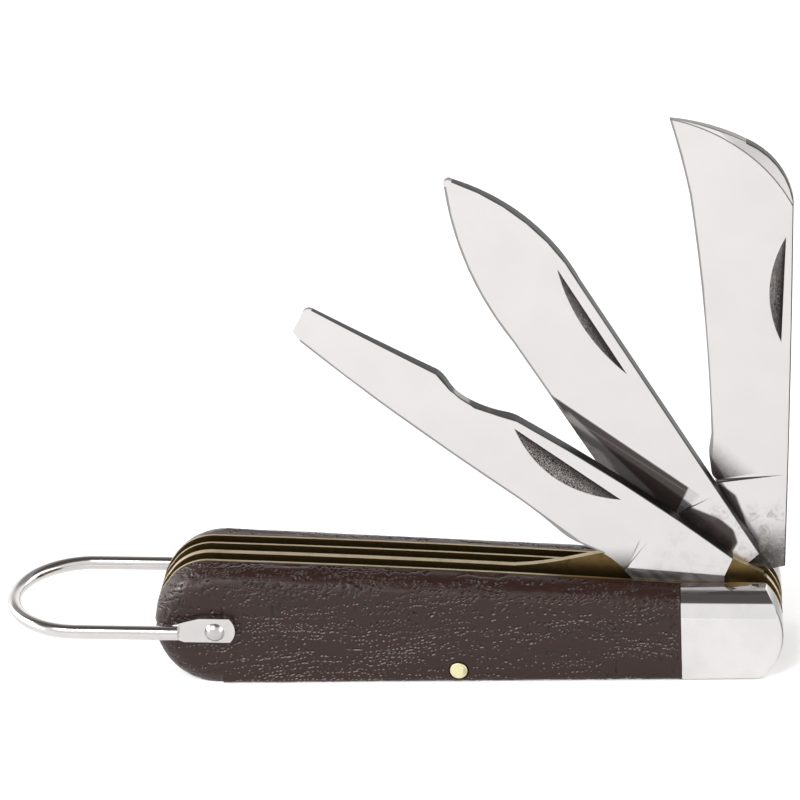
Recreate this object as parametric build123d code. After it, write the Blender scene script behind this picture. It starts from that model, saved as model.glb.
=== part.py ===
from build123d import *
import math
import os

# Three-blade folding electrician's pocket knife with a wire bail.
# X runs along the handle, butt at -X and pivot at +X.  Y runs through the layers, near side -Y.
# Z is up, away from the flat back of the handle.  The origin is the middle of that back.

os.makedirs("parts", exist_ok=True)

# Layers across the handle
HANDLE_WIDTH = 19.8
LINER_THICKNESS = 0.45
CENTER_LINER_THICKNESS = 1.05
WELL_WIDTH = 2.2
BLADE_THICKNESS = 2.1
SPRING_THICKNESS = 2.14

# Side outline of the handle
HALF_LENGTH = 50.8
BUTT_HEIGHT = 20.15
BUTT_WIDEST_Z = 8.8
BOLSTER_HEIGHT = 14.75
BOLSTER_RISE = 0.3
BOLSTER_WIDEST_Z = 7.6
BOLSTER_TOP_X = 48.1
BOLSTER_START_X = 34.55
TOP_START_X = -41.0
BACK_START_X = -42.0
BACK_END_X = 46.4
TOP_CROWN = 0.5
EDGE_RADIUS = 1.0
CROWN_RADIUS = 4.6
BOLSTER_CORNER_RADIUS = 0.8
BACK_CORNER = (47.8, 0.55)
BOLSTER_FOOT = (48.6, 1.5)
BUTT_SHOULDER = (-46.0, 18.9)
BUTT_UPPER = (-48.3, 16.6)
BUTT_LOWER = (-48.4, 2.9)
BUTT_FOOT = (-45.9, 0.85)
BUTT_CENTER_X = -40.0
BUTT_CENTER_Z = 9.8
BUTT_RADIUS = 10.85
BUTT_EDGE_RADIUS = 4.0
BUTT_DROP = 1.6

# Raised back of the thick divider: a hump that climbs from the well and falls to the pivot end
DIVIDER_FOOT_Z = 10.0
DIVIDER_RISE = [(8.0, 17.2), (22.0, 19.35), (31.5, 20.3), (43.0, 17.95)]
DIVIDER_END_X = 47.85
DIVIDER_END_Z = 15.3

# Pins
PIVOT_X = 42.9
PIVOT_Z = 8.6
PIVOT_RADIUS = 1.8
BORE_CLEARANCE = 0.03
CENTER_PIN_X = -1.4
CENTER_PIN_Z = 2.35
CENTER_PIN_RADIUS = 1.42
CENTER_PIN_CROWN = 0.15
END_PIN_X = -43.6
END_PIN_Z = 2.1
END_PIN_RADIUS = 0.9

# Backsprings
SPRING_NOSE_THICKNESS = 3.54
SPRING_FLEX_THICKNESS = 2.4
SPRING_CENTER_THICKNESS = 4.7
SPRING_BUTT_THICKNESS = 3.7
SPRING_NOSE_REACH = 4.0
SPRING_FLEX_START = 10.0
SPRING_CENTER_REACH = 3.5
SPRING_CENTER_RAMP = 12.0
SPRING_NOSE_GAP = 0.15

# Blades: each lies in its own well, and its outline runs along u, away from the pivot,
# and v, towards the back of the blade
TANG_RADIUS = 5.0
SHOULDER_U = 6.25
SHOULDER_FOOT_U = 5.45
SHOULDER_FOOT_V = 5.2
BELLY_TURN = 25.0
SCREWDRIVER_ANGLE = 36.2
SPEAR_ANGLE = 60.0
SLITTING_ANGLE = 92.0
SCREWDRIVER_BACK_V = 8.6
SPEAR_BACK_V = 8.6
SLITTING_BACK_V = 8.2
NOTCH_START = (48.0, 8.95)
NOTCH_END = (63.0, 8.4)
SPEAR_TIP = (86.7, 0.1)
SLITTING_TIP = (83.1, -11.5)
NICK_DEPTH = 0.6
NICK_TILT = 15.0
WIDE_NICK_TILT = 10.0
NICK_WHEEL_WIDTH = 6.0
SCREWDRIVER_NICK = [(26.4, 6.9), (48.0, 7.6)]
SPEAR_NICK = [(44.0, 7.0), (65.6, 7.2)]
SLITTING_NICK = [(45.8, 6.5), (64.3, 6.75)]
SWEDGE_SLOPE = 0.22
SWEDGE_CREASE = [(82.3, -8.3), (78.4, -0.4), (69.5, 7.5)]
SWEDGE_START_U = 64.0
BLADE_REACH = 90.0
CUT_MARGIN = 4.0

# Bail
BAIL_WIRE_RADIUS = 1.17
BAIL_ARM_Y = 11.7
BAIL_PIVOT_X = -40.4
BAIL_PIVOT_Z = 10.6
BAIL_TILT = 1.6
BAIL_ARM_LENGTH = 22.7
PADDLE_GAP = 0.06
PADDLE_THICKNESS = 1.36
PADDLE_END = 3.3
PADDLE_START = 5.0
PADDLE_HALF_HEIGHT = 2.15
PADDLE_RISE = 0.3
PADDLE_CORNER = 0.9
PADDLE_NECK = 1.8
PADDLE_RAMP = 2.6
PADDLE_RAMP_Z = 1.9
BAIL_RIVET_RADIUS = 1.1
BAIL_RIVET_CLEARANCE = 0.04
BAIL_HEAD_RADIUS = 1.6
BAIL_HEAD_HEIGHT = 0.95
BAIL_HEAD_GAP = 0.03

HALF_WIDTH = HANDLE_WIDTH / 2
HALF_STACK = (3 * (WELL_WIDTH + LINER_THICKNESS) + CENTER_LINER_THICKNESS) / 2
NEAR_WELL_Y = -HALF_STACK + LINER_THICKNESS
NEAR_DIVIDER_Y = NEAR_WELL_Y + WELL_WIDTH
MIDDLE_WELL_Y = NEAR_DIVIDER_Y + CENTER_LINER_THICKNESS
FAR_DIVIDER_Y = MIDDLE_WELL_Y + WELL_WIDTH
FAR_WELL_Y = FAR_DIVIDER_Y + LINER_THICKNESS
FAR_LINER_Y = FAR_WELL_Y + WELL_WIDTH


def save(shape, name):
    export_step(shape, "parts/" + name + ".step")


def layer(y):
    """Plane facing +Y at this y, with sketch x along -X and sketch y along +Z."""
    return Plane(origin=(0, y, 0), x_dir=(-1, 0, 0), z_dir=(0, 1, 0))


def side(points):
    """Handle outline points, X and Z, as points of the layer plane."""
    return [(-x, z) for x, z in points]


def slab(face, y, thickness):
    return extrude(layer(y) * face, thickness)


def pin(x, z, radius, y_start, y_end):
    plane = Plane(origin=(x, y_start, z), z_dir=(0, 1, 0))
    return plane * Cylinder(radius, y_end - y_start, align=(Align.CENTER, Align.CENTER, Align.MIN))


def handle_outline():
    back_start, back_end = side([(BACK_START_X, 0), (BACK_END_X, 0)])
    bolster_low, bolster_wide, bolster_top = side(
        [BOLSTER_FOOT, (HALF_LENGTH, BOLSTER_WIDEST_Z), (BOLSTER_TOP_X, BOLSTER_HEIGHT)]
    )
    top_end, top_middle, top_start = side(
        [
            (BOLSTER_START_X, BOLSTER_HEIGHT + BOLSTER_RISE),
            ((BOLSTER_START_X + TOP_START_X) / 2, (BOLSTER_HEIGHT + BUTT_HEIGHT) / 2 + TOP_CROWN),
            (TOP_START_X, BUTT_HEIGHT),
        ]
    )
    butt_high, butt_wide, butt_low = side([BUTT_UPPER, (-HALF_LENGTH, BUTT_WIDEST_Z), BUTT_LOWER])
    back_corner, butt_shoulder, butt_foot = side([BACK_CORNER, BUTT_SHOULDER, BUTT_FOOT])
    edges = [
        Line(back_start, back_end),
        ThreePointArc(back_end, back_corner, bolster_low),
        ThreePointArc(bolster_low, bolster_wide, bolster_top),
        Line(bolster_top, top_end),
        ThreePointArc(top_end, top_middle, top_start),
        ThreePointArc(top_start, butt_shoulder, butt_high),
        ThreePointArc(butt_high, butt_wide, butt_low),
        ThreePointArc(butt_low, butt_foot, back_start),
    ]
    face = make_face(edges)
    corner = face.vertices().sort_by_distance(Vector(*bolster_top, 0))[0]
    return fillet(corner, BOLSTER_CORNER_RADIUS)


def crown(start, end, lift):
    """Long bar whose upper outer corner is rounded, running through two points of the top line."""
    run = Vector(end[0] - start[0], 0, end[1] - start[1]).normalized()
    origin = Vector(start[0], -HALF_WIDTH, start[1] + lift)
    reach = 3 * HALF_LENGTH
    block = Rectangle(reach, reach, align=(Align.MIN, Align.MAX))
    corner = block.vertices().sort_by_distance(Vector(0, 0, 0))[0]
    section = Plane(origin=origin, x_dir=(0, 1, 0), z_dir=run) * fillet(corner, CROWN_RADIUS)
    return extrude(section, reach, both=True)


def rounded_butt():
    """Space that a cover may fill: at the butt a drum that leans down and has a rounded rim."""
    base = Plane(origin=(BUTT_CENTER_X, -HALF_STACK, BUTT_CENTER_Z), z_dir=(0, -1, 0))
    lean = Vector(0, HALF_STACK - HALF_WIDTH, -BUTT_DROP)
    drum = extrude(base * Circle(BUTT_RADIUS), lean.length, dir=lean.normalized())
    rim = drum.faces().sort_by(Axis.Y)[0].edges()
    size = 4 * HALF_LENGTH
    ahead = Pos(BUTT_CENTER_X, 0, 0) * Box(size, size, size, align=(Align.MIN, Align.CENTER, Align.CENTER))
    return fillet(rim, BUTT_EDGE_RADIUS) + ahead


def cover_halves():
    """Scale and bolster of the near side, cut from one slab and crowned along the top."""
    block = slab(handle_outline(), -HALF_WIDTH, HALF_WIDTH - HALF_STACK)
    outer = block.faces().sort_by(Axis.Y)[0]
    block = fillet(outer.edges(), EDGE_RADIUS)
    size = 4 * HALF_LENGTH
    bolster_side = Pos(BOLSTER_START_X, 0, 0) * Box(
        size, size, size, align=(Align.MIN, Align.CENTER, Align.CENTER)
    )
    butt = (TOP_START_X, BUTT_HEIGHT)
    junction = (BOLSTER_START_X, BOLSTER_HEIGHT + BOLSTER_RISE)
    tip = (BOLSTER_TOP_X, BOLSTER_HEIGHT)
    scale = (block - bolster_side) & crown(butt, junction, TOP_CROWN / 2) & rounded_butt()
    bolster = (block & bolster_side) & crown(junction, tip, 0)
    return scale, bolster


def divider_outline():
    """Raised back of the thick divider, beside the pivot."""
    low, rise, peak, fall = side(DIVIDER_RISE)
    end, foot = side([(DIVIDER_END_X, DIVIDER_END_Z), (DIVIDER_END_X, DIVIDER_FOOT_Z)])
    base = side([(DIVIDER_RISE[0][0], DIVIDER_FOOT_Z)])[0]
    edges = [
        Spline([low, rise, peak, fall], tangents=[(-1.0, 0.02), (-1.0, -0.5)]),
        Line(fall, end),
        Line(end, foot),
        Line(foot, base),
        Line(base, low),
    ]
    return make_face(edges)


def make_liners():
    outline = handle_outline()
    holes = pin(PIVOT_X, PIVOT_Z, PIVOT_RADIUS, -HALF_STACK, HALF_STACK)
    holes += pin(CENTER_PIN_X, CENTER_PIN_Z, CENTER_PIN_RADIUS, -HALF_STACK, HALF_STACK)
    holes += pin(END_PIN_X, END_PIN_Z, END_PIN_RADIUS, -HALF_STACK, HALF_STACK)
    bail_hole = pin(BAIL_PIVOT_X, BAIL_PIVOT_Z, BAIL_RIVET_RADIUS, -HALF_STACK, HALF_STACK)
    thick_outline = outline + divider_outline()
    save(slab(outline, -HALF_STACK, LINER_THICKNESS) - holes - bail_hole, "near_liner")
    save(slab(thick_outline, NEAR_DIVIDER_Y, CENTER_LINER_THICKNESS) - holes, "near_center_liner")
    save(slab(outline, FAR_DIVIDER_Y, LINER_THICKNESS) - holes, "far_center_liner")
    save(slab(outline, FAR_LINER_Y, LINER_THICKNESS) - holes - bail_hole, "far_liner")


def make_covers():
    scale, bolster = cover_halves()
    holes = pin(CENTER_PIN_X, CENTER_PIN_Z, CENTER_PIN_RADIUS, -HALF_WIDTH, -HALF_STACK)
    holes += pin(BAIL_PIVOT_X, BAIL_PIVOT_Z, BAIL_RIVET_RADIUS, -HALF_WIDTH, -HALF_STACK)
    scale -= holes
    bolster -= pin(PIVOT_X, PIVOT_Z, PIVOT_RADIUS, -HALF_WIDTH, -HALF_STACK)
    save(scale, "near_scale")
    save(mirror(scale, about=Plane.XZ), "far_scale")
    save(bolster, "near_bolster")
    save(mirror(bolster, about=Plane.XZ), "far_bolster")


def make_springs():
    """One leaf spring, copied into each well; its nose bears under the tang."""
    nose_foot_x = PIVOT_X + SHOULDER_U - SPRING_NOSE_GAP
    nose_top_x = PIVOT_X + SHOULDER_FOOT_U - 0.1 - SPRING_NOSE_GAP
    beyond_butt = -1.2 * HALF_LENGTH
    profile = side(
        [
            (beyond_butt, 0),
            (nose_foot_x, 0),
            (nose_top_x, SPRING_NOSE_THICKNESS),
            (PIVOT_X - SPRING_NOSE_REACH, SPRING_NOSE_THICKNESS),
            (PIVOT_X - SPRING_FLEX_START, SPRING_FLEX_THICKNESS),
            (CENTER_PIN_X + SPRING_CENTER_RAMP, SPRING_FLEX_THICKNESS + 0.3),
            (CENTER_PIN_X + SPRING_CENTER_REACH, SPRING_CENTER_THICKNESS),
            (CENTER_PIN_X - SPRING_CENTER_REACH, SPRING_CENTER_THICKNESS),
            (CENTER_PIN_X - SPRING_CENTER_RAMP, SPRING_BUTT_THICKNESS),
            (beyond_butt, SPRING_BUTT_THICKNESS),
        ]
    )
    face = Polyline(profile, close=True)
    blank = make_face(face) & handle_outline()
    side_gap = (WELL_WIDTH - SPRING_THICKNESS) / 2
    wells = {"near": NEAR_WELL_Y, "middle": MIDDLE_WELL_Y, "far": FAR_WELL_Y}
    for name, well_y in wells.items():
        y = well_y + side_gap
        spring = slab(blank, y, SPRING_THICKNESS)
        spring -= pin(CENTER_PIN_X, CENTER_PIN_Z, CENTER_PIN_RADIUS, y, y + SPRING_THICKNESS)
        spring -= pin(END_PIN_X, END_PIN_Z, END_PIN_RADIUS, y, y + SPRING_THICKNESS)
        save(spring, name + "_backspring")


def make_pins():
    save(pin(PIVOT_X, PIVOT_Z, PIVOT_RADIUS, -HALF_WIDTH, HALF_WIDTH), "pivot_pin")
    crowned = HALF_WIDTH + CENTER_PIN_CROWN
    rivet = pin(CENTER_PIN_X, CENTER_PIN_Z, CENTER_PIN_RADIUS, -crowned, crowned)
    ends = rivet.edges().filter_by(GeomType.CIRCLE)
    save(fillet(ends, CENTER_PIN_CROWN * 0.9), "center_pin")
    save(pin(END_PIN_X, END_PIN_Z, END_PIN_RADIUS, -HALF_STACK, HALF_STACK), "spring_end_pin")


def tang_edges(back_v, belly_start):
    """Tang from the spring shoulder on the back round the pivot to the belly of the blade."""
    shoulder = (SHOULDER_U, back_v)
    foot = (SHOULDER_FOOT_U, SHOULDER_FOOT_V)
    meet = (SHOULDER_FOOT_U - 1.4, math.sqrt(TANG_RADIUS**2 - (SHOULDER_FOOT_U - 1.4) ** 2))
    turn = math.radians(BELLY_TURN)
    low = (TANG_RADIUS * math.sin(turn), -TANG_RADIUS * math.cos(turn))
    return [
        Line(shoulder, foot),
        Line(foot, meet),
        ThreePointArc(meet, (-TANG_RADIUS, 0), low),
        Line(low, belly_start),
    ]


def nick(start, end, slant=NICK_TILT):
    """Wheel that cuts a nail nick: flat side along start-end, rim towards the edge of the blade."""
    chord = Vector(*end) - Vector(*start)
    middle = (Vector(*start) + Vector(*end)) * 0.5
    along = chord.normalized()
    across = Vector(along.Y, -along.X, 0)
    if across.Y > 0:
        across = across * -1
    tilt = math.radians(slant)
    inward = Vector(0, 0, 1)
    down = across * math.sin(tilt) + inward * math.cos(tilt)
    axis = across * math.cos(tilt) - inward * math.sin(tilt)
    radius = (NICK_DEPTH**2 + (chord.length / 2) ** 2) / (2 * NICK_DEPTH)
    center = Vector(middle.X, middle.Y, 0) - down * (radius - NICK_DEPTH)
    plane = Plane(origin=center, z_dir=axis)
    return plane * Cylinder(radius, NICK_WHEEL_WIDTH, align=(Align.CENTER, Align.CENTER, Align.MIN))


def grind(top_v, bottom_v, edge_thickness, plunge_u, fall=0.0):
    """Wedges that thin the blade from top_v to bottom_v, ahead of the plunge line.

    The bevel keeps its width, and falls by this many degrees towards the tip.
    """
    depth = (BLADE_THICKNESS - edge_thickness) / 2
    slope = depth / (top_v - bottom_v)
    far_v = bottom_v - CUT_MARGIN
    far_depth = slope * (top_v - far_v)
    near_side = [(top_v, 0), (far_v, 0), (far_v, far_depth)]
    t = BLADE_THICKNESS
    far_side = [(top_v, t), (far_v, t), (far_v, t - far_depth)]
    turn = math.radians(fall)
    x_dir = (math.sin(turn), math.cos(turn), 0)
    plane = Plane(origin=(plunge_u, 0, 0), x_dir=x_dir, z_dir=(math.cos(turn), -math.sin(turn), 0))
    wedges = []
    for points in (near_side, far_side):
        wedges.append(extrude(plane * make_face(Polyline(points, close=True)), BLADE_REACH))
    return wedges


def taper(start_u, end_u, tip_thickness):
    """Pair of wedges that thin the blade towards its tip."""
    depth = (BLADE_THICKNESS - tip_thickness) / 2
    slope = depth / (end_u - start_u)
    far_u = end_u + CUT_MARGIN
    far_depth = slope * (far_u - start_u)
    t = BLADE_THICKNESS
    plane = Plane(origin=(0, BLADE_REACH / 2, 0), x_dir=(1, 0, 0), z_dir=(0, -1, 0))
    near_side = [(start_u, 0), (far_u, 0), (far_u, far_depth)]
    far_side = [(start_u, t), (far_u, t), (far_u, t - far_depth)]
    wedges = []
    for points in (near_side, far_side):
        wedges.append(extrude(plane * make_face(Polyline(points, close=True)), BLADE_REACH))
    return wedges


def swedge(crease, start_u):
    """Conical bevel on the near face, outside the arc through the three crease points."""
    rim = ThreePointArc(*crease)
    center, radius = rim.arc_center, rim.radius
    half = BLADE_THICKNESS / 2
    spread = half / SWEDGE_SLOPE
    kept = Pos(center.X, center.Y, 0) * Cone(radius - spread, radius + spread, 2 * half)
    ahead = Pos(start_u, center.Y, 0) * Box(
        BLADE_REACH / 2, BLADE_REACH, 1.8 * half, align=(Align.MIN, Align.CENTER, Align.CENTER)
    )
    return ahead - kept


def finish_blade(edges, cutters, angle, well_y, name):
    blade = extrude(make_face(edges), BLADE_THICKNESS)
    for cutter in cutters:
        blade -= cutter
    bore = Cylinder(PIVOT_RADIUS + BORE_CLEARANCE, BLADE_THICKNESS * 4)
    blade -= bore
    turn = math.radians(angle)
    y = well_y + (WELL_WIDTH - BLADE_THICKNESS) / 2
    place = Plane(
        origin=(PIVOT_X, y, PIVOT_Z), x_dir=(-math.cos(turn), 0, math.sin(turn)), z_dir=(0, 1, 0)
    )
    save(place.location * blade, name)


def make_screwdriver():
    belly_start = (17.4, -3.7)
    edges = tang_edges(SCREWDRIVER_BACK_V, belly_start) + [
        Spline([belly_start, (23.3, -2.8), (27.6, -3.5), (40.0, -2.5)], tangents=[(1, 0.25), (1, 0.06)]),
        ThreePointArc((40.0, -2.5), (66.0, -1.1), (83.6, 0.5)),
        Line((83.6, 0.5), (85.3, 1.2)),
        Line((85.3, 1.2), (85.75, 4.6)),
        ThreePointArc((85.75, 4.6), (85.7, 5.7), (84.9, 6.15)),
        ThreePointArc((84.9, 6.15), (74.0, 7.2), NOTCH_END),
        Spline(
            [NOTCH_END, (59.6, 7.35), (54.8, 7.05), (50.5, 8.2), NOTCH_START],
            tangents=[(-1, 0.0), (-1, 0.12)],
        ),
        ThreePointArc(NOTCH_START, (28.0, 9.45), (SHOULDER_U, SCREWDRIVER_BACK_V)),
    ]
    cutters = grind(top_v=3.2, bottom_v=-3.5, edge_thickness=1.4, plunge_u=19.0)
    cutters += taper(start_u=60.0, end_u=85.5, tip_thickness=0.75)
    cutters.append(nick(*SCREWDRIVER_NICK, slant=WIDE_NICK_TILT))
    finish_blade(edges, cutters, SCREWDRIVER_ANGLE, NEAR_WELL_Y, "screwdriver_blade")


def make_spear():
    belly_start = (17.5, -5.0)
    edges = tang_edges(SPEAR_BACK_V, belly_start) + [
        Line(belly_start, (18.6, -4.4)),
        Line((18.6, -4.4), (20.0, -5.4)),
        Line((20.0, -5.4), (58.0, -5.65)),
        ThreePointArc((58.0, -5.65), (76.2, -4.1), (85.9, -0.6)),
        ThreePointArc((85.9, -0.6), SPEAR_TIP, (86.1, 0.95)),
        ThreePointArc((86.1, 0.95), (76.6, 6.5), (61.0, 8.8)),
        ThreePointArc((61.0, 8.8), (34.0, 8.7), (SHOULDER_U, SPEAR_BACK_V)),
    ]
    cutters = grind(top_v=7.0, bottom_v=-5.6, edge_thickness=0.25, plunge_u=18.9)
    cutters.append(nick(*SPEAR_NICK))
    finish_blade(edges, cutters, SPEAR_ANGLE, MIDDLE_WELL_Y, "spear_blade")


def make_slitting():
    belly_start = (18.0, -4.2)
    edges = tang_edges(SLITTING_BACK_V, belly_start) + [
        Line(belly_start, (21.4, -3.1)),
        Spline([(21.4, -3.1), (23.7, -4.1), (26.0, -4.4), (29.5, -4.1)], tangents=[(0.4, -1), (1, 0.12)]),
        ThreePointArc((29.5, -4.1), (55.0, -6.1), (70.6, -8.2)),
        ThreePointArc((70.6, -8.2), (76.5, -9.6), SLITTING_TIP),
        ThreePointArc(SLITTING_TIP, (81.7, -5.0), (79.5, 0.3)),
        ThreePointArc((79.5, 0.3), (76.0, 4.9), (70.0, 7.75)),
        ThreePointArc((70.0, 7.75), (38.0, 8.15), (SHOULDER_U, SLITTING_BACK_V)),
    ]
    cutters = grind(top_v=7.6, bottom_v=-4.6, edge_thickness=0.4, plunge_u=21.5, fall=9.0)
    cutters.append(swedge(SWEDGE_CREASE, SWEDGE_START_U))
    cutters.append(nick(*SLITTING_NICK))
    finish_blade(edges, cutters, SLITTING_ANGLE, FAR_WELL_Y, "slitting_blade")


def make_bail():
    """Wire loop round the butt; each arm ends in a flattened paddle drilled for its rivet."""
    wire_start = PADDLE_START + PADDLE_NECK / 2
    path = [
        Line((-wire_start, -BAIL_ARM_Y), (-BAIL_ARM_LENGTH, -BAIL_ARM_Y)),
        ThreePointArc(
            (-BAIL_ARM_LENGTH, -BAIL_ARM_Y),
            (-BAIL_ARM_LENGTH - BAIL_ARM_Y, 0),
            (-BAIL_ARM_LENGTH, BAIL_ARM_Y),
        ),
        Line((-BAIL_ARM_LENGTH, BAIL_ARM_Y), (-wire_start, BAIL_ARM_Y)),
    ]
    start = Plane(origin=(-wire_start, -BAIL_ARM_Y, 0), z_dir=(-1, 0, 0))
    wire = sweep(start * Circle(BAIL_WIRE_RADIUS), path=Wire(path))
    paddle = near_paddle()
    bail = wire + paddle + mirror(paddle, about=Plane.XZ)
    place = Pos(BAIL_PIVOT_X, 0, BAIL_PIVOT_Z) * Rot(0, BAIL_TILT, 0)
    save(place * bail, "bail")


def near_paddle():
    inner_y = -HALF_WIDTH - PADDLE_GAP
    top, bottom = PADDLE_RISE + PADDLE_HALF_HEIGHT, PADDLE_RISE - PADDLE_HALF_HEIGHT
    neck = -PADDLE_START - PADDLE_NECK
    straight_end = PADDLE_END - PADDLE_CORNER
    ramp_end = -PADDLE_START + PADDLE_RAMP
    wire = BAIL_WIRE_RADIUS
    edges = [
        Line((neck, -wire), (-PADDLE_START, bottom)),
        Line((-PADDLE_START, bottom), (straight_end, bottom)),
        ThreePointArc((straight_end, bottom), (PADDLE_END, PADDLE_RISE), (straight_end, top)),
        Line((straight_end, top), (ramp_end, top)),
        ThreePointArc((ramp_end, top), (-PADDLE_START + 0.5, PADDLE_RAMP_Z), (neck, wire)),
        Line((neck, wire), (neck, -wire)),
    ]
    plane = Plane(origin=(0, inner_y, 0), x_dir=(1, 0, 0), z_dir=(0, -1, 0))
    blank = extrude(plane * make_face(edges), PADDLE_THICKNESS)
    return blank - pin(0, 0, BAIL_RIVET_RADIUS + BAIL_RIVET_CLEARANCE, -HALF_WIDTH * 2, 0)


def make_bail_rivets():
    """Short rivet through paddle, scale and outer liner, so the blade wells stay open."""
    paddle_face = HALF_WIDTH + PADDLE_GAP + PADDLE_THICKNESS
    shank_end = NEAR_WELL_Y
    head_base = -paddle_face - BAIL_HEAD_GAP
    shank = pin(BAIL_PIVOT_X, BAIL_PIVOT_Z, BAIL_RIVET_RADIUS, head_base - 0.1, shank_end)
    ball_radius = (BAIL_HEAD_RADIUS**2 + BAIL_HEAD_HEIGHT**2) / (2 * BAIL_HEAD_HEIGHT)
    center_y = head_base - BAIL_HEAD_HEIGHT + ball_radius
    ball = Pos(BAIL_PIVOT_X, center_y, BAIL_PIVOT_Z) * Sphere(ball_radius)
    keep = pin(BAIL_PIVOT_X, BAIL_PIVOT_Z, BAIL_HEAD_RADIUS, head_base - BAIL_HEAD_HEIGHT, head_base)
    rivet = shank + (ball & keep)
    save(rivet, "near_bail_rivet")
    save(mirror(rivet, about=Plane.XZ), "far_bail_rivet")


make_covers()
make_liners()
make_springs()
make_pins()
make_screwdriver()
make_spear()
make_slitting()
make_bail()
make_bail_rivets()
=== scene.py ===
# Three-blade electrician's knife. The frame is in metres: +X along the handle towards the pivot,
# -Y the near side, +Z up. Shaders and outlines work in millimetres.

import math

import bmesh
import bpy
import numpy as np
from mathutils import Matrix, Vector


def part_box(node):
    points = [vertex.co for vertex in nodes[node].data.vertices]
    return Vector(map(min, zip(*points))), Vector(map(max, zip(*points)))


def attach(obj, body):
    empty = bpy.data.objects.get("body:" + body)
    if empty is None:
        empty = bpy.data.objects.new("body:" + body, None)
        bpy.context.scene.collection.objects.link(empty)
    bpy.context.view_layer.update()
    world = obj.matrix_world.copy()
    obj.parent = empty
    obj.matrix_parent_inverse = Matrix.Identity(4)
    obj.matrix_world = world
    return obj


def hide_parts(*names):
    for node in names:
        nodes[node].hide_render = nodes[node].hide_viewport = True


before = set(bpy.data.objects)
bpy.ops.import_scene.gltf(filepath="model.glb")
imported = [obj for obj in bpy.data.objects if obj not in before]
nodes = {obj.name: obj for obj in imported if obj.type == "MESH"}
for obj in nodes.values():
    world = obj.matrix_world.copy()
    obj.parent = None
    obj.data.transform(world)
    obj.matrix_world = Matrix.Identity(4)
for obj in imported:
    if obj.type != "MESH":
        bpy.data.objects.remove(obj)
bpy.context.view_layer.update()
scene = bpy.context.scene
MM = 0.001


# ---------------------------------------------------------------- camera, floor and light

def make_camera():
    right = Vector((0.99568176, 0.07592667, -0.05341317))
    up = Vector((0.0149068, 0.43713846, 0.89927068))
    forward = Vector((-0.09162758, 0.89618363, -0.43411897))
    data = bpy.data.cameras.new("camera")
    data.sensor_width = 36.0
    data.lens = 162.0
    data.clip_start = 0.01
    data.clip_end = 50.0
    camera = bpy.data.objects.new("camera", data)
    camera.matrix_world = Matrix(
        (
            (right.x, up.x, -forward.x, 0.0430606),
            (right.y, up.y, -forward.y, -0.5124431),
            (right.z, up.z, -forward.z, 0.2944861),
            (0, 0, 0, 1),
        )
    )
    scene.collection.objects.link(camera)
    scene.camera = camera


def area_light(name, place, target, size, power, shadow=True):
    data = bpy.data.lights.new(name, "AREA")
    data.shape = "DISK"
    data.size = size
    data.energy = power
    data.use_shadow = shadow
    light = bpy.data.objects.new(name, data)
    light.location = place
    light.rotation_euler = (Vector(target) - Vector(place)).to_track_quat("-Z", "Y").to_euler()
    scene.collection.objects.link(light)


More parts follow.
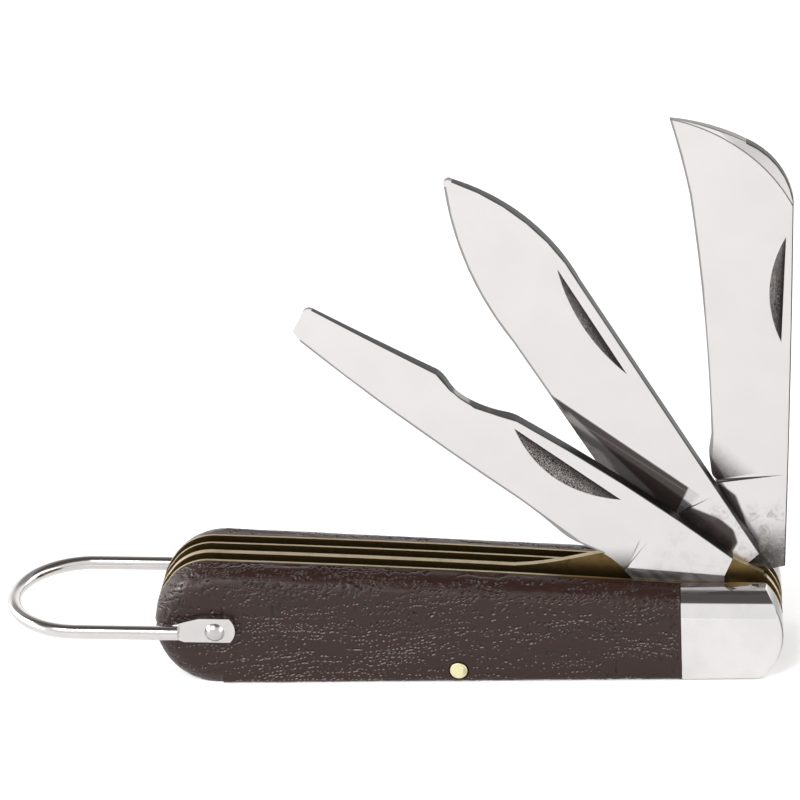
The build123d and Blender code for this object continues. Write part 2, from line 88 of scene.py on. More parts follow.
class Graph:
    """Short calls for the nodes of one tree. Each returns an output socket."""

    def __init__(self, tree):
        self.tree = tree
        tree.nodes.clear()

    def add(self, kind, **settings):
        node = self.tree.nodes.new(kind)
        for key, value in settings.items():
            setattr(node, key, value)
        return node

    def put(self, socket, value):
        if isinstance(value, bpy.types.NodeSocket):
            self.tree.links.new(value, socket)
        elif isinstance(value, (tuple, list)) and len(value) == 3 and socket.type == "RGBA":
            socket.default_value = (*value, 1.0)
        else:
            socket.default_value = value

    def math(self, operation, a, b=None, c=None):
        node = self.add("ShaderNodeMath", operation=operation)
        for socket, value in zip(node.inputs, (a, b, c)):
            if value is not None:
                self.put(socket, value)
        return node.outputs[0]

    def plus(self, a, b):
        return self.math("ADD", a, b)

    def times(self, a, b):
        return self.math("MULTIPLY", a, b)

    def linear(self, terms, constant=0.0):
        """Sum of factor times socket for each pair in terms, plus a constant."""
        total = constant
        for factor, socket in terms:
            total = self.math("MULTIPLY_ADD", socket, factor, total)
        return total

    def dot(self, vector, direction):
        node = self.add("ShaderNodeVectorMath", operation="DOT_PRODUCT")
        self.put(node.inputs[0], vector)
        node.inputs[1].default_value = direction
        return node.outputs["Value"]

    def scaled(self, vector, factors):
        node = self.add("ShaderNodeVectorMath", operation="MULTIPLY")
        self.put(node.inputs[0], vector)
        self.put(node.inputs[1], factors)
        return node.outputs[0]

    def join(self, x, y, z=0.0):
        node = self.add("ShaderNodeCombineXYZ")
        for socket, value in zip(node.inputs, (x, y, z)):
            self.put(socket, value)
        return node.outputs[0]

    def step(self, value, low, high, first=0.0, last=1.0):
        """Smooth step from first to last as value goes from low to high."""
        node = self.add("ShaderNodeMapRange", interpolation_type="SMOOTHSTEP")
        for socket, x in zip(node.inputs, (value, low, high, first, last)):
            self.put(socket, x)
        return node.outputs[0]

    def noise(self, vector, scale, detail=3.0, rough=0.55, distortion=0.0):
        node = self.add("ShaderNodeTexNoise")
        self.put(node.inputs["Vector"], vector)
        for key, value in (
            ("Scale", scale),
            ("Detail", detail),
            ("Roughness", rough),
            ("Distortion", distortion),
        ):
            self.put(node.inputs[key], value)
        return node.outputs["Fac"]

    def cells(self, vector, scale):
        node = self.add("ShaderNodeTexVoronoi")
        self.put(node.inputs["Vector"], vector)
        self.put(node.inputs["Scale"], scale)
        return node.outputs["Distance"]

    def mix(self, factor, a, b):
        node = self.add("ShaderNodeMix", data_type="RGBA")
        self.put(node.inputs[0], factor)
        self.put(node.inputs[6], a)
        self.put(node.inputs[7], b)
        return node.outputs[2]

    def blend(self, factor, a, b):
        node = self.add("ShaderNodeMix", data_type="FLOAT")
        self.put(node.inputs[0], factor)
        self.put(node.inputs[2], a)
        self.put(node.inputs[3], b)
        return node.outputs[0]

    def bump(self, height, distance, strength=1.0, normal=None):
        node = self.add("ShaderNodeBump")
        self.put(node.inputs["Height"], height)
        self.put(node.inputs["Distance"], distance)
        self.put(node.inputs["Strength"], strength)
        if normal is not None:
            self.put(node.inputs["Normal"], normal)
        return node.outputs[0]

    def left_of(self, u, v, p, q):
        """Distance to the left of the line from p to q."""
        du, dv = q[0] - p[0], q[1] - p[1]
        length = math.hypot(du, dv)
        offset = (dv * p[0] - du * p[1]) / length
        return self.linear([(-dv / length, u), (du / length, v)], offset)

    def side(self, u, v, p, q, soft):
        """1 to the left of the line from p to q, 0 to its right, with a soft edge."""
        return self.step(self.left_of(u, v, p, q), -soft, soft)

    def region(self, u, v, corners, soft):
        """1 inside a convex polygon given anticlockwise, with soft edges."""
        mask = 1.0
        softs = soft if isinstance(soft, (list, tuple)) else [soft] * len(corners)
        for i, corner in enumerate(corners):
            edge = self.side(u, v, corner, corners[(i + 1) % len(corners)], softs[i])
            mask = self.times(edge, mask)
        return mask


def surface(name, metallic, **constants):
    """New material: its graph, its Principled node and the object coordinates in millimetres."""
    material = bpy.data.materials.new(name)
    material.use_nodes = True
    g = Graph(material.node_tree)
    shader = g.add("ShaderNodeBsdfPrincipled")
    output = g.add("ShaderNodeOutputMaterial")
    g.tree.links.new(shader.outputs[0], output.inputs[0])
    shader.inputs["Metallic"].default_value = metallic
    for key, value in constants.items():
        shader.inputs[key.replace("_", " ")].default_value = value
    place = g.add("ShaderNodeTexCoord").outputs["Object"]
    return material, g, shader, g.scaled(place, (1000.0, 1000.0, 1000.0))


def make_world():
    world = bpy.data.worlds.new("studio")
    scene.world = world
    world.use_nodes = True
    g = Graph(world.node_tree)
    direction = g.add("ShaderNodeTexCoord").outputs["Generated"]
    front = g.dot(direction, (0, -1, 0))
    up = g.dot(direction, (0, 0, 1))
    angle = g.times(g.math("ARCTAN2", up, front), 180 / math.pi)
    into_dark = g.step(angle, 56.0, 61.0)
    out_of_dark = g.step(angle, 122.0, 130.0)
    dark = g.times(into_dark, g.math("SUBTRACT", 1.0, out_of_dark))
    back = g.step(angle, 147.0, 165.0)
    tone = g.mix(dark, (1.28, 1.28, 1.28), (0.13, 0.12, 0.115))
    grey = g.times(out_of_dark, g.step(angle, 147.0, 153.0, 1.0, 0.0))
    tone = g.mix(grey, tone, (0.42, 0.40, 0.385))
    tone = g.mix(back, tone, (1.6, 1.6, 1.6))
    aside = g.step(g.math("ABSOLUTE", g.dot(direction, (1, 0, 0))), 0.72, 0.88)
    tone = g.mix(aside, tone, (3.6, 3.6, 3.6))
    background = g.add("ShaderNodeBackground")
    g.put(background.inputs["Color"], tone)
    output = g.add("ShaderNodeOutputWorld")
    g.tree.links.new(background.outputs[0], output.inputs[0])


def make_floor():
    material, g, shader, place = surface("floor", 0.0, Roughness=0.9)
    grain = g.noise(place, 0.02, 2.0)
    g.put(shader.inputs["Base Color"], g.mix(grain, (0.96, 0.96, 0.96), (0.985, 0.985, 0.985)))
    shader.inputs["Specular IOR Level"].default_value = 0.1
    mesh = bpy.data.meshes.new("floor")
    reach = 3.0
    corners = [(-reach, -reach, 0), (reach, -reach, 0), (reach, reach, 0), (-reach, reach, 0)]
    mesh.from_pydata(corners, [], [(0, 1, 2, 3)])
    mesh.materials.append(material)
    floor = bpy.data.objects.new("floor", mesh)
    scene.collection.objects.link(floor)


# ---------------------------------------------------------------- blades

# Tones shared by the blade materials
BRIGHT_STEEL = ((0.550, 0.533, 0.528), (0.570, 0.554, 0.549))
SPINE_STEEL = ((0.19, 0.178, 0.170), (0.31, 0.295, 0.282))
# Painted shade and reflection on the blade heels and tangs
HEEL_SHADE = (0.034, 0.025, 0.022)
STAIN = (0.10, 0.085, 0.078)
# Painted reflection of the sharpening bevel: a darker line along the cutting edge
WHETTED_EDGE_SHADE = (0.16, 0.15, 0.145)
# Painted shade for the dark lines where the back meets the near face
BACK_EDGE_SHADE = (0.012, 0.01, 0.01)


def centre(node):
    """Middle of a node's box, in millimetres."""
    low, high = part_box(node)
    return (low + high) / 2 / MM


PIVOT = (centre("pivot_pin").x, centre("pivot_pin").z)


def blade_coordinates(g, place, angle, near_y):
    """Along the blade, towards its back, and depth below the near face, in millimetres."""
    turn = math.radians(angle)
    c, s = math.cos(turn), math.sin(turn)
    u = g.plus(g.dot(place, (-c, 0, s)), c * PIVOT[0] - s * PIVOT[1])
    v = g.plus(g.dot(place, (s, 0, c)), -s * PIVOT[0] - c * PIVOT[1])
    depth = g.plus(g.dot(place, (0, 1, 0)), -near_y)
    return u, v, depth


def circle_through(p, q, r):
    """Centre and radius of the circle through three points."""
    (ax, ay), (bx, by), (cx, cy) = p, q, r
    d = 2 * (ax * (by - cy) + bx * (cy - ay) + cx * (ay - by))
    a, b, c = ax * ax + ay * ay, bx * bx + by * by, cx * cx + cy * cy
    x = (a * (by - cy) + b * (cy - ay) + c * (ay - by)) / d
    y = (a * (cx - bx) + b * (ax - cx) + c * (bx - ax)) / d
    return x, y, math.hypot(ax - x, ay - y)


def arc(p, q, r, steps=6):
    """Points along the arc from p through q to r, without the last."""
    x, y, radius = circle_through(p, q, r)
    start, middle, end = [math.atan2(b - y, a - x) for a, b in (p, q, r)]
    middle = start + math.remainder(middle - start, math.tau)
    end = middle + math.remainder(end - middle, math.tau)
    turns = [start + (end - start) * i / steps for i in range(steps)]
    return [(x + radius * math.cos(turn), y + radius * math.sin(turn)) for turn in turns]


def edge_strip(g, u, v, points, width=0.28):
    """1 on a narrow band inside each run of the edge, given towards the tip."""
    mask = 0.0
    for p, q in zip(points, points[1:]):
        du, dv = q[0] - p[0], q[1] - p[1]
        length = math.hypot(du, dv)
        inward = g.left_of(u, v, p, q)
        along = g.linear([(du / length, u), (dv / length, v)], -(du * p[0] + dv * p[1]) / length)
        run = g.times(g.step(inward, width, width + 0.12, 1.0, 0.0), g.step(inward, -0.6, -0.5))
        within = g.times(g.step(along, -0.1, 0.0), g.step(along, length, length + 0.1, 1.0, 0.0))
        run = g.times(run, within)
        mask = g.math("MAXIMUM", run, mask)
    return mask


def steel_blade(name, angle, near_y, nick, grind, shade_face, cutting_edge, back, stained):
    """Polished blade steel: satin spine, stippled nail nick, stained tang, with painted shade and reflections
    on heel and tang and painted dark lines along the edges and the back.
    """
    material, g, shader, place = surface(name, 1.0)
    u, v, depth = blade_coordinates(g, place, angle, near_y)
    flat = g.join(u, v, depth)
    toward_far = g.dot(g.add("ShaderNodeNewGeometry").outputs["True Normal"], (0, 1, 0))
    facing = g.math("ABSOLUTE", toward_far)

    # nail nick
    top_u0, top_v0, fall, slope = grind
    drop = math.tan(math.radians(fall))
    lowered = g.linear([(-drop, u), (-1.0, v)], top_v0 + drop * top_u0)
    ground = g.times(g.math("MAXIMUM", lowered, 0.0), slope)
    below = g.math("SUBTRACT", depth, ground)
    u0, u1, v0, v1 = nick
    in_nick = g.times(
        g.times(g.step(u, u0 - 0.2, u0), g.step(u, u1, u1 + 0.2, 1.0, 0.0)),
        g.times(g.step(v, v0 - 0.1, v0 + 0.1), g.step(v, v1, v1 + 0.1, 1.0, 0.0)),
    )
    in_nick = g.times(in_nick, g.step(below, 0.015, 0.05))
    in_nick = g.times(in_nick, g.step(depth, 1.2, 1.3, 1.0, 0.0))

    spine = g.times(g.step(facing, 0.3, 0.7, 1.0, 0.0), g.math("SUBTRACT", 1.0, in_nick))

    cloud = g.noise(flat, 0.09, 3.0, 0.6)
    tone = g.mix(g.step(cloud, 0.3, 0.7), *BRIGHT_STEEL)
    # Painted shade and reflection from the heel masks, weaker on the far face
    shade = g.times(shade_face(g, u, v, flat), g.step(toward_far, -0.3, 0.3, 1.0, 0.45))
    tone = g.mix(shade, tone, HEEL_SHADE)

    # stains and scratches on the tang
    on_tang = g.step(u, 15.0, 19.0, 1.0, 0.0)
    blot = g.noise(flat, 0.55, 6.0, 0.7, 0.6)
    specks = g.step(g.noise(flat, 2.6, 3.0, 0.6), 0.62, 0.72)
    spotted = g.plus(g.times(g.step(blot, 0.48, 0.70), 0.55), g.times(specks, 0.5))
    stain = g.times(g.times(on_tang, stained), spotted)
    tone = g.mix(stain, tone, STAIN)

    speck = g.noise(flat, 6.5, 2.0, 0.7)
    stipple = g.mix(g.step(speck, 0.44, 0.60), (0.025, 0.019, 0.017), (0.36, 0.33, 0.32))
    # The nick grows much darker towards the blade's back: painted shade in the recess
    rim = g.step(g.plus(v, g.times(g.plus(u, -u0), -1.4 / (u1 - u0))), v1 - 3.6, v1 - 1.2)
    stipple = g.mix(g.times(rim, 0.9), stipple, (0.02, 0.016, 0.014))
    tone = g.mix(in_nick, tone, stipple)

    streak = g.noise(g.scaled(flat, (0.08, 1.0, 1.4)), 2.0, 3.0)
    spine_tone = g.mix(streak, *SPINE_STEEL)
    # Painted shade: a dark line on the spine next to the near face
    spine_edge_shade = g.times(g.step(depth, 0.5, 0.68, 1.0, 0.0), 0.95)
    spine_tone = g.mix(spine_edge_shade, spine_tone, BACK_EDGE_SHADE)
    tone = g.mix(spine, tone, spine_tone)
    # Painted reflection of the sharpening bevel: a thin darker strip along the cutting edge
    whetted_edge_shade = edge_strip(g, u, v, cutting_edge)
    tone = g.mix(g.times(whetted_edge_shade, 0.8), tone, WHETTED_EDGE_SHADE)
    # Painted shade: a thin dark line on the face along the blade's back
    wear_and_back_shade = edge_strip(g, u, v, back, 0.11)
    tone = g.mix(g.times(wear_and_back_shade, 0.93), tone, BACK_EDGE_SHADE)
    g.put(shader.inputs["Base Color"], tone)
    # Painted shade and reflection also lower the metallic, so those areas look even
    g.put(shader.inputs["Metallic"], g.math("SUBTRACT", 1.0, g.times(shade, 0.4)))

    rough = g.blend(g.step(cloud, 0.3, 0.7), 0.10, 0.16)
    rough = g.blend(g.times(on_tang, 0.6), rough, 0.3)
    rough = g.blend(spine, rough, 0.38)
    rough = g.blend(in_nick, rough, 0.6)
    g.put(shader.inputs["Roughness"], rough)

    brushed = g.noise(g.scaled(flat, (9.0, 0.35, 1.0)), 1.0, 2.0, 0.5)
    scratches = g.bump(brushed, 0.0000006, 0.5)
    pits = g.bump(g.times(in_nick, speck), 0.00006, 0.7, scratches)
    dents = g.bump(g.times(on_tang, blot), 0.00001, 0.5, pits)
    g.put(shader.inputs["Normal"], dents)
    return material


def shade_screwdriver(g, u, v, flat):
    """Painted reflection: a darker heel in front of the plunge line near the edge, a dark line along the
    plunge line, and a mottled dark band on the lower tang.
    """
    # Painted reflection: a darker heel in front of the plunge line
    ahead = g.side(u, v, (20.1, 2.9), (18.7, -3.2), 0.12)
    fade = g.linear([(1 / 8.0, u), (1 / 6.0, v)], -19.4 / 8.0 + 3.6 / 6.0)
    dark_heel_reflection = g.times(ahead, g.step(fade, -0.1, 1.0, 0.9, 0.0))
    # Painted reflection: a dark line along the plunge line
    line = g.side(u, v, (20.35, 2.9), (18.95, -3.2), 0.1)
    edge = g.times(ahead, g.math("SUBTRACT", 1.0, line))
    edge = g.times(edge, g.step(v, 1.5, 3.0, 0.5, 0.0))
    # Painted reflection: a mottled dark band on the lower tang
    under = g.times(g.side(u, v, (19.2, -2.7), (6.1, 4.9), 0.12), g.step(u, 18.9, 19.2, 1.0, 0.0))
    under_mottle = g.noise(g.scaled(flat, (0.3, 1.2, 1.0)), 0.8, 4.0, 0.6)
    under = g.times(under, g.step(under_mottle, 0.3, 0.7, 0.97, 0.8))
    return g.math("MAXIMUM", under, g.math("MAXIMUM", dark_heel_reflection, edge))


def shade_spear(g, u, v, flat):
    """Painted reflection: a dark band across the heel with a paler triangle, a pale streak and a bright wedge
    at the plunge line, and a mottled dark patch of painted shade behind the plunge line.
    """
    grain = g.noise(flat, 1.6, 4.0, 0.65)
    # Painted reflection: a dark band across the heel
    band = g.region(u, v, [(50.0, -6.6), (20.2, 5.75), (18.9, 2.2), (18.9, -8.0)], [0.18, 0.5, 0.3, 1.0])
    # Painted reflection: a paler triangle inside the band
    pale = g.region(u, v, [(43.0, -4.5), (24.0, -0.55), (24.0, -8.0), (43.0, -8.0)], [0.2, 1.5, 1.0, 1.0])
    band = g.times(band, g.math("SUBTRACT", 1.0, g.times(pale, 0.26)))
    # Painted highlight: a thin pale streak across the band
    ray_u, ray_v = 0.405, 0.914
    ray = g.math("ABSOLUTE", g.linear([(ray_u, u), (ray_v, v)], -(ray_u * 40.1 - ray_v * 3.9)))
    band = g.times(band, g.plus(0.985, g.step(ray, 0.05, 0.2, -0.07, 0.0)))
    # Painted highlight: a bright wedge along the plunge line
    wedge = g.region(u, v, [(22.4, 5.2), (19.2, 6.6), (18.4, 1.0), (19.2, 1.0)], 0.2)
    band = g.times(band, g.math("SUBTRACT", 1.0, g.times(wedge, 0.8)))
    # Painted shade and reflection: a mottled dark patch behind the plunge line
    behind_plunge = [(19.3, 3.3), (14.8, 6.4), (12.0, 7.2), (9.7, 6.6), (8.7, 5.0), (8.7, -3.0), (18.7, -3.0)]
    patch = g.region(u, v, behind_plunge, 0.25)
    patch = g.times(patch, g.step(grain, 0.62, 0.7, 0.985, 0.85))
    return g.math("MAXIMUM", band, patch)


def shade_slitting(g, u, v, flat):
    """Painted reflection and shade: a dark heel above the plunge line fading along the blade, a painted
    shadow on the tang, darker towards the pivot, and a thin painted line along the swedge's crease.
    """
    grain = g.noise(flat, 1.2, 4.0, 0.65)
    # Painted reflection: a dark heel ahead of the plunge line, fading along the blade
    ahead = g.side(u, v, (23.6, 6.6), (21.2, -3.2), 0.1)
    fade = g.linear([(1 / 8.5, u), (1 / 10.5, v), (0.16, grain)], -21.6 / 8.5 + 4.0 / 10.5 - 0.08)
    dark_heel_reflection = g.times(ahead, g.step(fade, 0.1, 0.95, 0.98, 0.0))
    # Painted shadow on the tang
    behind_spear = [(21.0, -2.6), (18.9, 0.0), (14.4, 1.7), (8.0, 2.8), (4.0, -6.0), (20.0, -6.0)]
    shadow = g.times(g.region(u, v, behind_spear, 0.25), 0.97)
    # Painted shade on the tang, darker towards the pivot and mottled
    low = g.times(g.step(u, 8.0, 15.5, 0.86, 0.0), g.step(grain, 0.3, 0.6, 0.75, 1.0))
    low = g.times(low, g.math("SUBTRACT", 1.0, ahead))
    # Painted reflection: a thin line along the swedge's crease, also shown weaker on the far face
    center_u, center_v, radius = circle_through((82.3, -8.3), (78.4, -0.4), (69.5, 7.5))
    far_u, far_v = g.plus(u, -center_u), g.plus(v, -center_v)
    reach = g.math("SQRT", g.plus(g.times(far_u, far_u), g.times(far_v, far_v)))
    crease = g.step(g.math("ABSOLUTE", g.plus(reach, -radius)), 0.05, 0.14, 0.8, 0.0)
    crease = g.times(crease, g.step(u, 66.0, 70.0))
    return g.math("MAXIMUM", g.math("MAXIMUM", dark_heel_reflection, crease), g.math("MAXIMUM", shadow, low))


# ---------------------------------------------------------------- other metals

def polished_steel(name, base=(0.60, 0.588, 0.583), low=0.06, high=0.14, bumps=0.5, rim=0.0):
    """Bright metal. rim paints shade on the ends and underside, which show as a thin dark outline."""
    material, g, shader, place = surface(name, 1.0)
    cloud = g.noise(place, 0.25, 4.0, 0.6)
    wear_and_back_shade = tuple(0.94 * c for c in base)
    tone = g.mix(g.step(cloud, 0.35, 0.7), base, wear_and_back_shade)
    specks = g.step(g.noise(place, 3.0, 3.0, 0.65), 0.66, 0.74)
    tone = g.mix(g.times(specks, 0.25), tone, (0.2, 0.18, 0.17))
    normal = g.add("ShaderNodeNewGeometry").outputs["Normal"]
    outward = g.math("MAXIMUM", g.math("ABSOLUTE", g.dot(normal, (1, 0, 0))), g.dot(normal, (0, 0, -1)))
    # Painted shade on the ends and underside, in proportion to rim
    tone = g.mix(g.times(g.step(outward, 0.7, 0.92), rim), tone, (0.09, 0.086, 0.083))
    g.put(shader.inputs["Base Color"], tone)
    g.put(shader.inputs["Roughness"], g.blend(cloud, low, high))
    lines = g.noise(g.scaled(place, (0.4, 6.0, 6.0)), 1.0, 2.0)
    fine = g.bump(lines, 0.0000008, bumps)
    g.put(shader.inputs["Normal"], g.bump(cloud, 0.000004, bumps, fine))
    return material


def brass(name, face, edge, rough=0.28):
    """Stained brass sheet whose sawn edges are brighter than its faces."""
    material, g, shader, place = surface(name, 1.0)
    across = g.dot(g.add("ShaderNodeNewGeometry").outputs["True Normal"], (0, 1, 0))
    flat = g.step(g.math("ABSOLUTE", across), 0.3, 0.7)
    cloud = g.noise(place, 0.35, 5.0, 0.7, 0.4)
    specks = g.step(g.noise(place, 1.7, 4.0, 0.7), 0.6, 0.75)
    dark = tuple(0.35 * c for c in face)
    tone = g.mix(flat, edge, face)
    tone = g.mix(g.times(g.step(cloud, 0.45, 0.75), g.plus(0.25, g.times(flat, 0.4))), tone, dark)
    tone = g.mix(g.times(specks, 0.35), tone, dark)
    g.put(shader.inputs["Base Color"], tone)
    g.put(shader.inputs["Roughness"], g.blend(cloud, rough, rough + 0.2))
    lines = g.noise(g.scaled(place, (0.25, 5.0, 5.0)), 1.0, 3.0)
    g.put(shader.inputs["Normal"], g.bump(lines, 0.000004, 0.5))
    return material


def moulded_scale():
    """Dark brown moulded handle, with fine pores along the grain, painted shade in the pores and painted
    highlights on their lower rims.
    """
    material, g, shader, place = surface("scale_brown", 0.0)
    shader.inputs["Specular IOR Level"].default_value = 0.3
    sway = g.noise(g.scaled(place, (0.05, 0.2, 0.16)), 1.0, 2.0)
    across = g.linear([(1.0, g.dot(place, (0, 0, 1))), (3.2, sway)])
    grain = g.join(g.dot(place, (1, 0, 0)), g.dot(place, (0, 1, 0)), across)
    fibre = g.noise(g.scaled(grain, (0.35, 2.0, 3.6)), 1.0, 4.0, 0.6)
    cloud = g.noise(place, 0.12, 3.0)
    tone = g.mix(fibre, (0.012, 0.0036, 0.0026), (0.022, 0.0085, 0.0062))
    tone = g.mix(g.times(cloud, 0.5), tone, (0.026, 0.0105, 0.0078))
    pit = g.add("ShaderNodeAttribute", attribute_name="pore").outputs["Fac"]
    painted_glint = g.add("ShaderNodeAttribute", attribute_name="painted_glint").outputs["Fac"]
    # Painted shade in the pits, darker where they are deeper
    tone = g.mix(g.times(g.step(pit, 0.15, 0.8), 0.8), tone, (0.008, 0.005, 0.0045))
    # Painted highlights on the lower rims of the pits
    tone = g.mix(g.times(g.step(painted_glint, 0.19, 0.55), 0.72), tone, (0.21, 0.155, 0.138))
    g.put(shader.inputs["Base Color"], tone)
    g.put(shader.inputs["Roughness"], g.blend(fibre, 0.27, 0.42))
    pore = g.cells(g.scaled(grain, (1.4, 4.0, 4.5)), 1.0)
    pores = g.step(pore, 0.12, 0.4)
    fine = g.bump(fibre, 0.00003, 0.5)
    g.put(shader.inputs["Normal"], g.bump(pores, 0.00003, 0.5, fine))
    return material


# ---------------------------------------------------------------- embossed scales

def hashed(a, b, seed):
    value = np.sin(a * 127.1 + b * 311.7 + seed * 74.7) * 43758.5453
    return value - np.floor(value)


def value_noise(x, y, seed):
    i, j = np.floor(x), np.floor(y)
    fx, fy = x - i, y - j
    fx, fy = fx * fx * (3 - 2 * fx), fy * fy * (3 - 2 * fy)
    low = hashed(i, j, seed) * (1 - fx) + hashed(i + 1, j, seed) * fx
    high = hashed(i, j + 1, seed) * (1 - fx) + hashed(i + 1, j + 1, seed) * fx
    return low * (1 - fy) + high * fy


def wood_relief(x, z, seed):
    """Depth of the embossed grain, 0 to 1, at x and z in millimetres."""
    spread = np.clip((x + 12.0) / 48.0, 0, 1)
    sway = 4.6 * (value_noise(x / 23.0, z / 10.0, seed) - 0.5)
    sway += 2.4 * (value_noise(x / 8.5, z / 4.6, seed + 1) - 0.5)
    sway += 0.9 * (value_noise(x / 2.6, z / 1.8, seed + 2) - 0.5)
    s = (z - 7.0) * (1 - 0.42 * spread) + sway
    relief = np.zeros_like(x)
    for spacing, pitch, length, width, amount, layer in (
        (1.25, 0.7, 0.23, 0.14, 1.0, 0),
        (2.6, 0.95, 0.36, 0.19, 1.15, 1),
        (0.85, 0.6, 0.18, 0.11, 0.7, 2),
    ):
        row = np.floor(s / spacing)
        along = x / pitch + 10 * hashed(row, 3.0, seed + 5 + layer)
        cell = np.floor(along)
        lift = hashed(row, cell, seed + 12 + layer) - 0.5
        ds = (s / spacing - row - 0.5 - 0.32 * lift) * spacing
        jitter = 0.6 * (hashed(row, cell, seed + 20 + layer) - 0.5)
        dx = (along - cell - 0.5 - jitter) * pitch
        slant = 0.5 * (hashed(row, cell, seed + 26 + layer) - 0.5)
        ds = ds + slant * dx
        density = value_noise(x / 10.0 + 3, s / 2.1, seed + 30 + layer)
        density *= 0.4 + value_noise(x / 3.1, s / 0.9, seed + 33 + layer)
        present = hashed(row, cell, seed + 40 + layer) < (density * 1.9 - 0.36) * amount
        size = 0.55 + 0.85 * hashed(row, cell, seed + 50 + layer)
        pit = np.exp(-((dx / (length * size)) ** 2) - (ds / (width * size)) ** 2)
        relief = np.maximum(relief, np.where(present, pit * (0.55 + 0.45 * size), 0.0))
    ridge = np.abs(s / 2.6 - np.round(s / 2.6)) * 2.6
    ragged = value_noise(x / 0.5, s / 0.5, seed + 61)
    broken = np.clip(value_noise(x / 4.5, s / 1.5, seed + 60) * 2.6 - 1.25 + 0.5 * spread, 0, 1)
    groove = np.exp(-((ridge / (0.12 + 0.16 * ragged)) ** 2))
    return np.clip(np.maximum(relief, 0.75 * broken * groove * (0.35 + ragged)), 0, 1)


VOXEL = 0.00012
GRAIN_DEPTH = 0.24
PIN_GAP = 0.24
BOLSTER_GAP = 0.07
CROWN_SHARE = 0.57
GRAIN_MID_Z = 9.0
HALF_WIDTH = round(-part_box("near_scale")[0].y / MM, 3)


def embossed_scale(node, side, seed, material):
    """Scale with the grain pressed into its surface. side is -1 for the near one."""
    bm = bmesh.new()
    bm.from_mesh(nodes[node].data)
    bmesh.ops.remove_doubles(bm, verts=bm.verts, dist=1e-7)
    mesh = bpy.data.meshes.new(node + "_grain")
    bm.to_mesh(mesh)
    bm.free()
    piece = bpy.data.objects.new(node + "_grain", mesh)
    scene.collection.objects.link(piece)
    remesh = piece.modifiers.new("remesh", "REMESH")
    remesh.mode = "VOXEL"
    remesh.voxel_size = VOXEL
    bpy.context.view_layer.update()
    evaluated = piece.evaluated_get(bpy.context.evaluated_depsgraph_get())
    dense = bpy.data.meshes.new_from_object(evaluated)
    piece.modifiers.clear()
    piece.data = dense
    bpy.data.meshes.remove(mesh)

    inner = min(abs(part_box(node)[0].y), abs(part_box(node)[1].y))
    bm = bmesh.new()
    bm.from_mesh(dense)
    cut = Vector((0, side * (inner + 0.00008), 0))
    everything = list(bm.verts) + list(bm.edges) + list(bm.faces)
    bmesh.ops.bisect_plane(bm, geom=everything, plane_co=cut, plane_no=(0, -side, 0), clear_outer=True)
    rim = [edge for edge in bm.edges if edge.is_boundary]
    for vert in {v for edge in rim for v in edge.verts}:
        vert.co.y = side * inner
    bmesh.ops.triangle_fill(bm, use_beauty=True, edges=rim, normal=(0, -side, 0))
    bmesh.ops.recalc_face_normals(bm, faces=bm.faces)
    bm.to_mesh(dense)
    bm.free()

    count = len(dense.vertices)
    co = np.zeros(count * 3)
    dense.vertices.foreach_get("co", co)
    co = co.reshape(-1, 3) / MM
    normal = np.zeros(count * 3)
    dense.vertices.foreach_get("normal", normal)
    normal = normal.reshape(-1, 3)
    x, y, z = co.T
    outer = np.clip((np.abs(y) - inner / MM - 0.25) / 0.5, 0, 1)
    ends = np.clip((BOLSTER_X - 0.15 - x) / 0.5, 0, 1)
    pin = np.hypot(x - PIN[0], z - PIN[1])
    around = np.clip((pin - PIN[2] - 0.2) / 0.4, 0, 1)
    # relief lies on the outer face, and wraps over the crown without stretching
    wrapped = z + CROWN_SHARE * np.sign(z - GRAIN_MID_Z) * (HALF_WIDTH - np.abs(y))
    relief = wood_relief(x, wrapped, seed)
    swell = 0.07 * value_noise(x / 5.0, wrapped / 1.3, seed + 70)
    swell += 0.025 * value_noise(x / 1.2, wrapped / 0.5, seed + 71)
    shown = outer * ends * around
    sink = (GRAIN_DEPTH * relief + swell) * shown
    co -= normal * sink[:, None]
    near_pin = pin < PIN[2] + 0.2
    scale = (PIN[2] + PIN_GAP) / np.maximum(pin, 0.01)
    co[near_pin, 0] = PIN[0] + (x[near_pin] - PIN[0]) * scale[near_pin]
    co[near_pin, 2] = PIN[1] + (z[near_pin] - PIN[1]) * scale[near_pin]
    low, high = [np.array(corner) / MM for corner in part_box(node)]
    high[0] -= BOLSTER_GAP
    co = np.clip(co, low, high)
    dense.vertices.foreach_set("co", (co * MM).ravel())
    # Relief depth, which the material turns into painted shade in the pits
    pore = dense.attributes.new("pore", "FLOAT", "POINT")
    pore.data.foreach_set("value", (relief * shown).astype(np.float32))
    # Painted highlights where the grain just above is deeper: the lower rims of the pits
    above = wood_relief(x, wrapped + 0.12, seed)
    painted_glint = dense.attributes.new("painted_glint", "FLOAT", "POINT")
    painted_glint.data.foreach_set("value", (np.clip(above - relief, 0, 1) * shown).astype(np.float32))
    dense.polygons.foreach_set("use_smooth", np.ones(len(dense.polygons), bool))
    dense.set_sharp_from_angle(angle=math.radians(60))
    dense.update()
    dense.materials.clear()
    dense.materials.append(material)
    piece.name = node + "_grain"
    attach(piece, "root")
    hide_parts(node)


BOLSTER_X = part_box("near_scale")[1].x / MM
pin_low, pin_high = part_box("center_pin")
PIN = (centre("center_pin").x, centre("center_pin").z, (pin_high.x - pin_low.x) / 2 / MM)


def paint(node, material):
    slots = nodes[node].data.materials
    slots.clear()
    slots.append(material)


scene.view_settings.view_transform = "Standard"
make_camera()
make_world()
make_floor()
area_light("left_softbox", (-0.98, 0.05, 0.58), (-0.04, 0, 0.015), 0.2, 7.0, shadow=False)
area_light("key_softbox", (-0.45, -0.75, 1.05), (0, 0, 0.02), 0.6, 9.0)



def paint_blade(node, angle, nick, grind, shade_face, cutting_edge, back, stained):
    near_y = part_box(node)[0].y / MM
    name = node.replace("blade", "steel")
    paint(node, steel_blade(name, angle, near_y, nick, grind, shade_face, cutting_edge, back, stained))


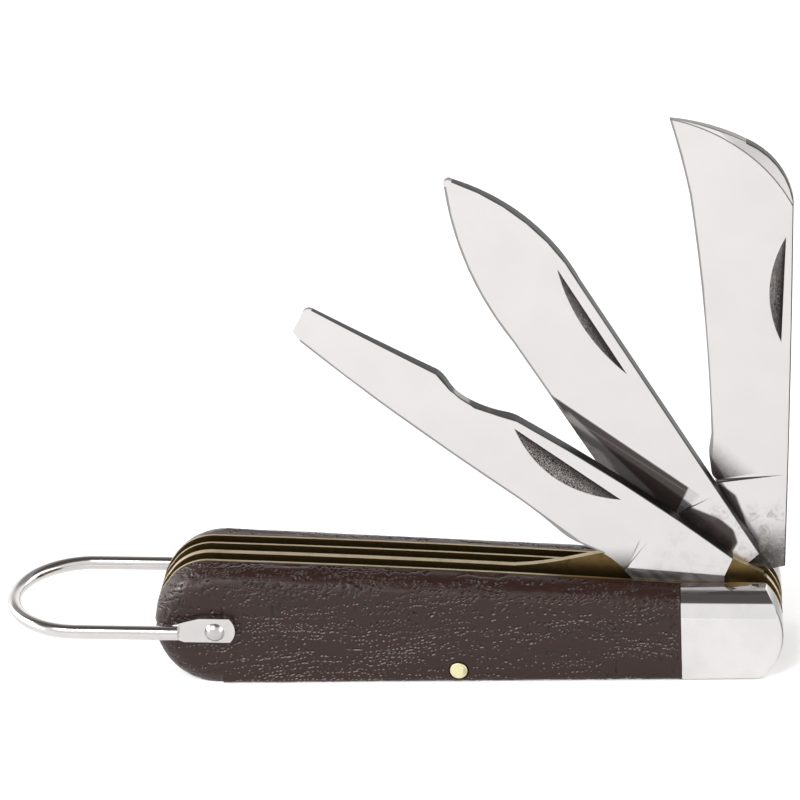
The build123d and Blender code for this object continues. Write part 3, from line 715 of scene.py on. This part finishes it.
# Each: angle at rest, box of the nail nick, flat grind (top line at u, v, its fall and slope),
# heel shading, cutting edge towards the tip, back towards the tang, and how stained the tang is
paint_blade(
    "screwdriver_blade",
    36.2,
    (25.8, 48.6, 2.4, 7.75),
    (0.0, 3.2, 0.0, 0.0522),
    shade_screwdriver,
    [(23.3, -2.8), (27.6, -3.5), (40.0, -2.5), (53.0, -1.95), (66.0, -1.1), (75.0, -0.4), (83.6, 0.5)],
    [
        (84.9, 6.15), (79.5, 6.65), (74.0, 7.2), (68.5, 7.8), (63.0, 8.4), (59.6, 7.35), (54.8, 7.05),
        (50.5, 8.2), (48.0, 8.95), (38.0, 9.35), (28.0, 9.45), (17.0, 9.2), (6.25, 8.6),
    ],
    0.3,
)
paint_blade(
    "spear_blade",
    60.0,
    (43.4, 66.2, 2.4, 7.75),
    (0.0, 7.0, 0.0, 0.0734),
    shade_spear,
    [(20.0, -5.4)] + arc((58.0, -5.65), (76.2, -4.1), (85.9, -0.6)) + [(85.9, -0.6)],
    arc((86.1, 0.95), (76.6, 6.5), (61.0, 8.8))
    + arc((61.0, 8.8), (34.0, 8.7), (6.25, 8.6), 3)
    + [(6.25, 8.6)],
    1.0,
)
paint_blade(
    "slitting_blade",
    92.0,
    (45.2, 64.9, 2.2, 7.4),
    (21.5, 7.6, 9.0, 0.0697),
    shade_slitting,
    [
        (24.5, -4.2), (29.5, -4.1), (42.0, -4.95), (55.0, -6.1), (63.0, -7.1), (70.6, -8.2), (77.0, -9.7),
        (83.1, -11.5),
    ],
    arc((79.5, 0.3), (76.0, 4.9), (70.0, 7.75))
    + arc((70.0, 7.75), (38.0, 8.15), (6.25, 8.2), 3)
    + [(6.25, 8.2)],
    1.0,
)

liner_brass = brass("liner_brass", (0.20, 0.135, 0.052), (0.44, 0.36, 0.235))
for name in ("near_liner", "near_center_liner", "far_center_liner", "far_liner"):
    paint(name, liner_brass)
pin_brass = brass("pin_brass", (0.72, 0.67, 0.42), (0.4, 0.32, 0.14), 0.3)
paint("center_pin", pin_brass)
bolster_steel = polished_steel("bolster_steel", rim=1.0)
for name in ("near_bolster", "far_bolster", "pivot_pin"):
    paint(name, bolster_steel)
bail_steel = polished_steel("bail_nickel", (0.53, 0.508, 0.50), 0.1, 0.24, 0.7)
paint("bail", bail_steel)
rivet_steel = polished_steel("rivet_nickel", (0.46, 0.45, 0.445), 0.24, 0.34, 1.0)
for name in ("near_bail_rivet", "far_bail_rivet"):
    paint(name, rivet_steel)
spring_steel = polished_steel("spring_steel", (0.42, 0.39, 0.36), 0.3, 0.45, 1.0)
for name in ("near_backspring", "middle_backspring", "far_backspring", "spring_end_pin"):
    paint(name, spring_steel)

brown = moulded_scale()
embossed_scale("near_scale", -1, 3, brown)
embossed_scale("far_scale", 1, 17, brown)
